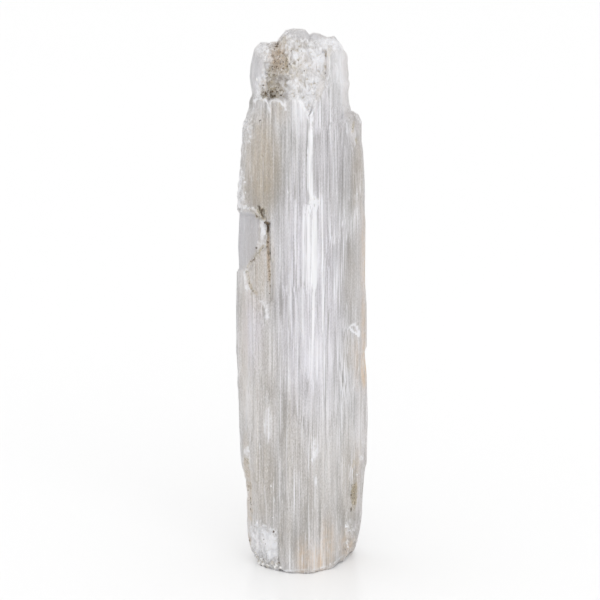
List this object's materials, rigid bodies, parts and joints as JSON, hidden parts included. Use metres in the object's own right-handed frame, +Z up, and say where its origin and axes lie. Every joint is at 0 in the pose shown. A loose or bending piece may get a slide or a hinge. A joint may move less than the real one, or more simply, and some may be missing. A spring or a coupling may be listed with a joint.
{
  "type": "selenite crystal blade",
  "caption": "Free-standing blade of fibrous selenite gypsum with a striated front ridge, a split side notch and a broken crystalline top, ground flat to stand upright.",
  "frame": {"origin": "centre of the bounding box at the flat base, on the surface that the crystal stands on", "axes": "+Z up along the crystal's fibres, +X to the right as seen from the front, -Y towards the front, where the ridge and the broken top face"},
  "size_m": [0.0558, 0.0368, 0.2297],
  "materials": {
    "selenite": "satin fibrous gypsum, pale grey and cloudy to translucent, with white laths and brown earthy stains"
  },
  "bodies": {
    "root": {"selenite_blade": "selenite"}
  },
  "joints": []
}
